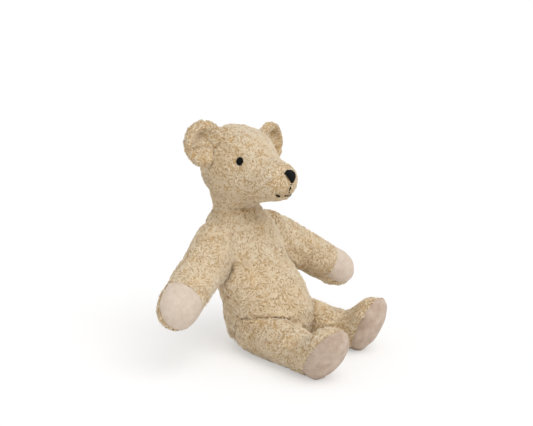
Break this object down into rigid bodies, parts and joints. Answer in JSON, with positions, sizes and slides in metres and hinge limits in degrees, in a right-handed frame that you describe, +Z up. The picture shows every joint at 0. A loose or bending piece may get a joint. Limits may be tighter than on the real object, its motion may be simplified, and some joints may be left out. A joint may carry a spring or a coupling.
{
  "type": "jointed teddy bear",
  "caption": "Sitting plush teddy bear with cupped ears, a blunt muzzle, stitched eyes, nose and mouth, smooth paw pads and soles, and a head, arms and legs that turn on hidden disc joints.",
  "frame": {"origin": "middle of the flat that the bear sits on", "axes": "+Z up, the bear faces -Y, its own left is +X"},
  "size_m": [0.2997, 0.2204, 0.2486],
  "materials": {
    "plush": "short curly pile, cream to sand, matt",
    "velour": "short smooth pile, pale pinkish beige, matt",
    "stuffing": "white fibre wadding",
    "moulded_plastic": "white, satin",
    "thread": "black embroidery thread, slight sheen"
  },
  "bodies": {
    "torso": {"left_hip_back_disc": "moulded_plastic", "left_shoulder_back_disc": "moulded_plastic", "neck_back_disc": "moulded_plastic", "right_hip_back_disc": "moulded_plastic", "right_shoulder_back_disc": "moulded_plastic", "torso_cover": "plush", "torso_stuffing": "stuffing"},
    "head": {"head_cover": "plush", "head_stuffing": "stuffing", "left_ear": "plush", "left_eye": "thread", "left_smile_stitch": "thread", "lip_stitch": "thread", "neck_lock_washer": "moulded_plastic", "neck_stem_disc": "moulded_plastic", "nose": "thread", "right_ear": "plush", "right_eye": "thread", "right_smile_stitch": "thread"},
    "left_arm": {"left_arm_cover": "plush", "left_arm_stuffing": "stuffing", "left_paw_pad": "velour", "left_shoulder_lock_washer": "moulded_plastic", "left_shoulder_stem_disc": "moulded_plastic"},
    "right_arm": {"right_arm_cover": "plush", "right_arm_stuffing": "stuffing", "right_paw_pad": "velour", "right_shoulder_lock_washer": "moulded_plastic", "right_shoulder_stem_disc": "moulded_plastic"},
    "left_leg": {"left_hip_lock_washer": "moulded_plastic", "left_hip_stem_disc": "moulded_plastic", "left_leg_cover": "plush", "left_leg_stuffing": "stuffing", "left_sole": "velour"},
    "right_leg": {"right_hip_lock_washer": "moulded_plastic", "right_hip_stem_disc": "moulded_plastic", "right_leg_cover": "plush", "right_leg_stuffing": "stuffing", "right_sole": "velour"}
  },
  "joints": [
    {"name": "neck_turn", "type": "hinge", "parent": "torso", "child": "head", "pos_m": [0, 0.04019, 0.15], "axis": [0, 0.0872, 0.9962], "continuous": true},
    {"name": "left_shoulder_turn", "type": "hinge", "parent": "torso", "child": "left_arm", "pos_m": [0.03762, 0.03136, 0.11704], "axis": [0.9986, 0, 0.0523], "continuous": true},
    {"name": "right_shoulder_turn", "type": "hinge", "parent": "torso", "child": "right_arm", "pos_m": [-0.03762, 0.03136, 0.11704], "axis": [-0.9986, 0, 0.0523], "continuous": true},
    {"name": "left_hip_turn", "type": "hinge", "parent": "torso", "child": "left_leg", "pos_m": [0.0185, -0.002, 0.0205], "axis": [1, 0, 0], "range_deg": [-3, 95]},
    {"name": "right_hip_turn", "type": "hinge", "parent": "torso", "child": "right_leg", "pos_m": [-0.0185, -0.018, 0.0205], "axis": [1, 0, 0], "range_deg": [-3, 95]}
  ]
}
